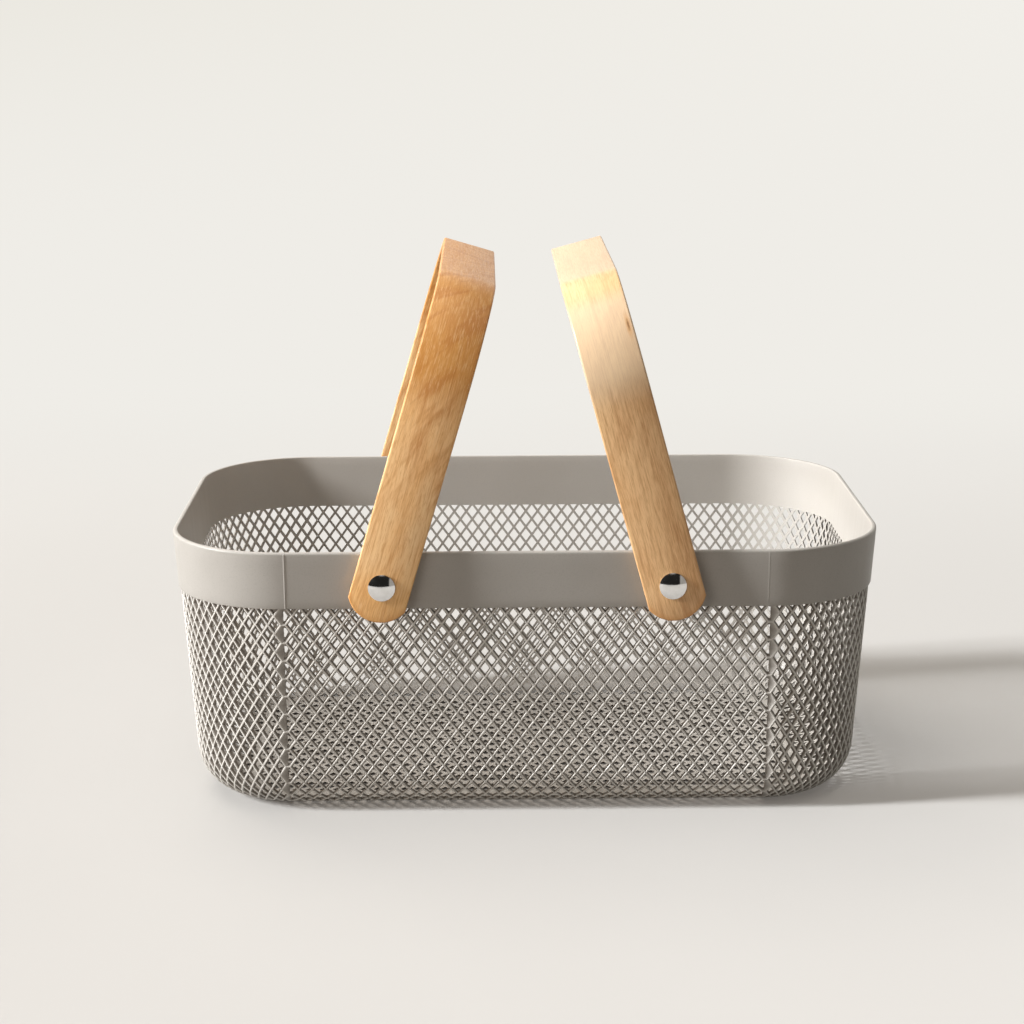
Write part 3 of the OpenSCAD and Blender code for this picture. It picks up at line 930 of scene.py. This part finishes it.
def nylon_material():
    sh = Shader("nylon_spacers", IOR=1.52)
    cloud = sh.noise(sh.where(), 260.0, 2.0)
    tone = sh.mix(sh.remap(cloud, 0.3, 0.7), rgb(0.74, 0.72, 0.67), rgb(0.80, 0.785, 0.74))
    return sh.finish(tone, sh.remap(cloud, 0.3, 0.7, 0.34, 0.46), sh.bump(cloud, 0.00002, 0.4))


def dress(obj, mat):
    """Gives the whole object one material."""
    slots = obj.data.materials
    if not slots:
        slots.append(mat)
    for k in range(len(slots)):
        slots[k] = mat


# The object

dress(build_rim(), plastic_material("rim_plastic", 1.0, rim_painted_light))
net_plastic = plastic_material("net_plastic", 1.12, net_painted_light)
for net in (*build_walls(), *build_ends(), *build_corners(), build_base()):
    dress(net, net_plastic)
for side in ("left", "right"):
    dress(build_bow(side), wood_material(side))
chrome, steel, nylon = chrome_material(), steel_material(), nylon_material()
for name, node in list(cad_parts.items()):
    if name.startswith("post_"):
        dress(build_post(name), chrome)
    elif name.startswith("spacer_"):
        dress(node, nylon)
    elif name.startswith(("washer_", "screw_")):
        dress(node, steel)


# Stage, in metres

FLOOR_FRONT, FLOOR_BACK, FLOOR_SIDE, SWEEP_R, WALL_TOP = -3.2, 1.9, 3.4, 0.9, 3.2
FLOOR_STEPS, SWEEP_STEPS = 24, 16
# The paper's tone to the eye, and a darker one for the light that it throws on the basket
PAPER, BOUNCE = (0.536, 0.532, 0.522), (0.22, 0.205, 0.185)
# A little glow in the paper, more on the right, where the photographed shadow is pale
GLOW, GLOW_LEFT, GLOW_RIGHT = (1.0, 0.93, 0.86), 0.02, 0.18
# The backdrop's own tones: low down, and high up on the left and on the right
BACK_LOW, BACK_LEFT, BACK_RIGHT = (0.865, 0.845, 0.80), (0.77, 0.74, 0.655), (0.92, 0.90, 0.85)
# Half the length and width of the ground that the basket stands on, where the paper bounces its full tone
UNDER_X, UNDER_Y = 0.17, 0.11


def paper_material():
    """Pale paper that keeps the shadows near the basket, and fades into its own even tone further back."""
    sh = Shader("sweep_paper", IOR=1.45, Roughness=0.95, Specular_IOR_Level=0.2)
    where = sh.where()
    x, y, z = sh.add("SeparateXYZ", {0: where}).outputs
    soft = sh.remap(sh.noise(where, 1.6, 2.0), 0.3, 0.7)
    low, high = (rgb(*(c * gain for c in PAPER)) for gain in (0.985, 1.015))
    tooth = sh.bump(sh.noise(where, 900.0, 2.0), 0.00003, 0.3)
    sh.plug(sh.bsdf, {"Base Color": sh.mix(soft, low, high), "Normal": tooth})
    lift = sh.remap(x, -0.35, 0.45, 0.0, GLOW_RIGHT - GLOW_LEFT)
    lift = sh.math("MULTIPLY", lift, sh.remap(y, -0.30, 0.0, 1.0, 0.35))
    lift = sh.math("ADD", lift, GLOW_LEFT)
    glow = sh.add("Emission", {"Color": rgb(*GLOW), "Strength": lift}).outputs[0]
    lit = sh.add("AddShader", {0: sh.bsdf.outputs[0], 1: glow}).outputs[0]
    high_tone = sh.mix(sh.remap(x, -1.0, 1.0), rgb(*BACK_LEFT), rgb(*BACK_RIGHT))
    far_tone = sh.mix(sh.remap(z, 0.0, 1.0, smooth=True), rgb(*BACK_LOW), high_tone)
    far = sh.add("Emission", {"Color": far_tone, "Strength": 1.0}).outputs[0]
    pale = sh.blend(sh.remap(y, 0.25, 1.2, smooth=True), lit, far)
    wide = sh.math("SUBTRACT", sh.math("ABSOLUTE", x), UNDER_X)
    deep = sh.math("SUBTRACT", sh.math("ABSOLUTE", y), UNDER_Y)
    under = sh.remap(sh.math("MAXIMUM", wide, deep), -0.03, 0.02, 1.0, 0.0, smooth=True)
    bounce = sh.add("BsdfDiffuse", {"Color": sh.mix(under, rgb(*BOUNCE), rgb(*PAPER))}).outputs[0]
    path = sh.add("LightPath").outputs
    seen = sh.math("MAXIMUM", path["Is Camera Ray"], path["Is Glossy Ray"])
    seen = sh.math("MAXIMUM", seen, path["Is Transmission Ray"])
    sh.plug(sh.out, {"Surface": sh.blend(seen, bounce, pale)})
    return sh.mat


def build_stage():
    """A floor that sweeps up into a backdrop."""
    path = [(FLOOR_FRONT, 0.0)]
    run = FLOOR_BACK - FLOOR_FRONT
    path += [(FLOOR_FRONT + run * k / FLOOR_STEPS, 0.0) for k in range(1, FLOOR_STEPS + 1)]
    for k in range(1, SWEEP_STEPS + 1):
        t = math.pi / 2 * k / SWEEP_STEPS
        path.append((FLOOR_BACK + SWEEP_R * math.sin(t), SWEEP_R * (1 - math.cos(t))))
    path.append((FLOOR_BACK + SWEEP_R, WALL_TOP))
    bm = bmesh.new()
    rows = [[bm.verts.new((FLOOR_SIDE * k / 2, y, z)) for k in range(-2, 3)] for y, z in path]
    for one, two in zip(rows, rows[1:]):
        for k in range(len(one) - 1):
            bm.faces.new((one[k], one[k + 1], two[k + 1], two[k]))
    obj = to_object(bm, "studio_sweep")
    obj.data.shade_smooth()
    dress(obj, paper_material())


# Zones of the studio that the caps mirror: axis, where each starts and is full as a direction, and strength
WORLD_ZONES = (("Z", 0.80, 0.90, 1.1), ("X", 0.60, 0.66, 0.40), ("X", -0.95, -0.985, 2.4))
WORLD_DARK, WORLD_TINT = 0.02, (1.0, 0.945, 0.87)


def build_world():
    """A dark studio, pale above and at the far left and right, as the caps mirror it; pale to the camera."""
    world = bpy.data.worlds.new("studio")
    bpy.context.scene.world = world
    world.use_nodes = True
    tree = Tree(world.node_tree)
    way = tree.add("SeparateXYZ", {0: tree.add("TexCoord").outputs["Generated"]}).outputs
    zones = 0.0
    for axis, start, stop, top in WORLD_ZONES:
        zones = tree.math("MAXIMUM", zones, tree.remap(way[axis], start, stop, 0.0, top))
    strength = tree.math("ADD", zones, WORLD_DARK)
    studio = tree.add("Background", {"Color": rgb(*WORLD_TINT), "Strength": strength}).outputs[0]
    seen = tree.add("Background", {"Color": rgb(*BACK_LOW)}).outputs[0]
    camera_ray = tree.add("LightPath").outputs["Is Camera Ray"]
    tree.add("OutputWorld", {"Surface": tree.blend(camera_ray, studio, seen)})


# The key light, a tall window far to the left: heights of its parts, its turn and its width, in degrees
KEY_HEIGHTS = {"key_low": 18.0, "key_mid": 25.0, "key_high": 32.0}
KEY_TURN, KEY_WIDTH, KEY_POWER, KEY_FAR = 9.5, 7, 1.84, 3.0
# The top light and the front fill: place and target in metres, power in watts and tone, then size in metres
TOP_LIGHT, TOP_SIZE = ((-0.7, 0.8, 1.3), (0, 0, 0.1), 9.0, (1.0, 0.91, 0.81)), 1.0
FILL_LIGHT, FILL_SIZE = ((-0.65, -0.8, 0.30), (-0.1, -0.1, 0.1), 1.95, (1.0, 0.88, 0.78)), 0.6


def aimed(name, kind, place, target, power, colour, **props):
    """A light that looks at a target."""
    data = bpy.data.lights.new(name, kind)
    data.energy = power
    data.color = colour
    for key, value in props.items():
        setattr(data, key, value)
    obj = new_object(name, data)
    obj.location = place
    obj.rotation_euler = (Vector(target) - Vector(place)).to_track_quat("-Z", "Y").to_euler()
    return obj


def build_light():
    """The window, narrow sideways so that the bows' shadows stay crisp, a top light and a soft front fill."""
    turn = math.radians(KEY_TURN)
    for name, height in KEY_HEIGHTS.items():
        up = math.radians(height)
        way = Vector((-math.cos(up) * math.cos(turn), -math.cos(up) * math.sin(turn), math.sin(up)))
        place, wide = way * KEY_FAR, math.radians(KEY_WIDTH)
        aimed(name, "SUN", place, (0, 0, 0), KEY_POWER, (1.0, 1.0, 1.0), angle=wide)
    aimed("top", "AREA", *TOP_LIGHT, shape="SQUARE", size=TOP_SIZE)
    fill = aimed("fill", "AREA", *FILL_LIGHT, shape="DISK", size=FILL_SIZE)
    fill.visible_glossy = fill.visible_camera = False


# The camera, as fitted to the photograph: place in metres, turns in degrees, lens and sensor in millimetres
CAMERA_PLACE = (-0.021005, -1.265031, 0.430659)
CAMERA_YAW, CAMERA_DOWN, CAMERA_ROLL = -0.6675, 13.0091, -0.2331
LENS, SENSOR = 80.351, 36.0


def build_camera():
    data = bpy.data.cameras.new("camera")
    data.sensor_fit = "HORIZONTAL"
    data.sensor_width = SENSOR
    data.lens = LENS
    data.clip_start, data.clip_end = 0.05, 30.0
    obj = new_object("camera", data)
    yaw = Matrix.Rotation(math.radians(CAMERA_YAW), 4, "Z")
    down = Matrix.Rotation(math.radians(90 - CAMERA_DOWN), 4, "X")
    roll = Matrix.Rotation(math.radians(CAMERA_ROLL), 4, "Z")
    obj.matrix_world = Matrix.Translation(CAMERA_PLACE) @ (yaw @ down @ roll)
    bpy.context.scene.camera = obj


build_stage()
build_light()
build_world()
build_camera()
bpy.context.scene.view_settings.view_transform = "Standard"
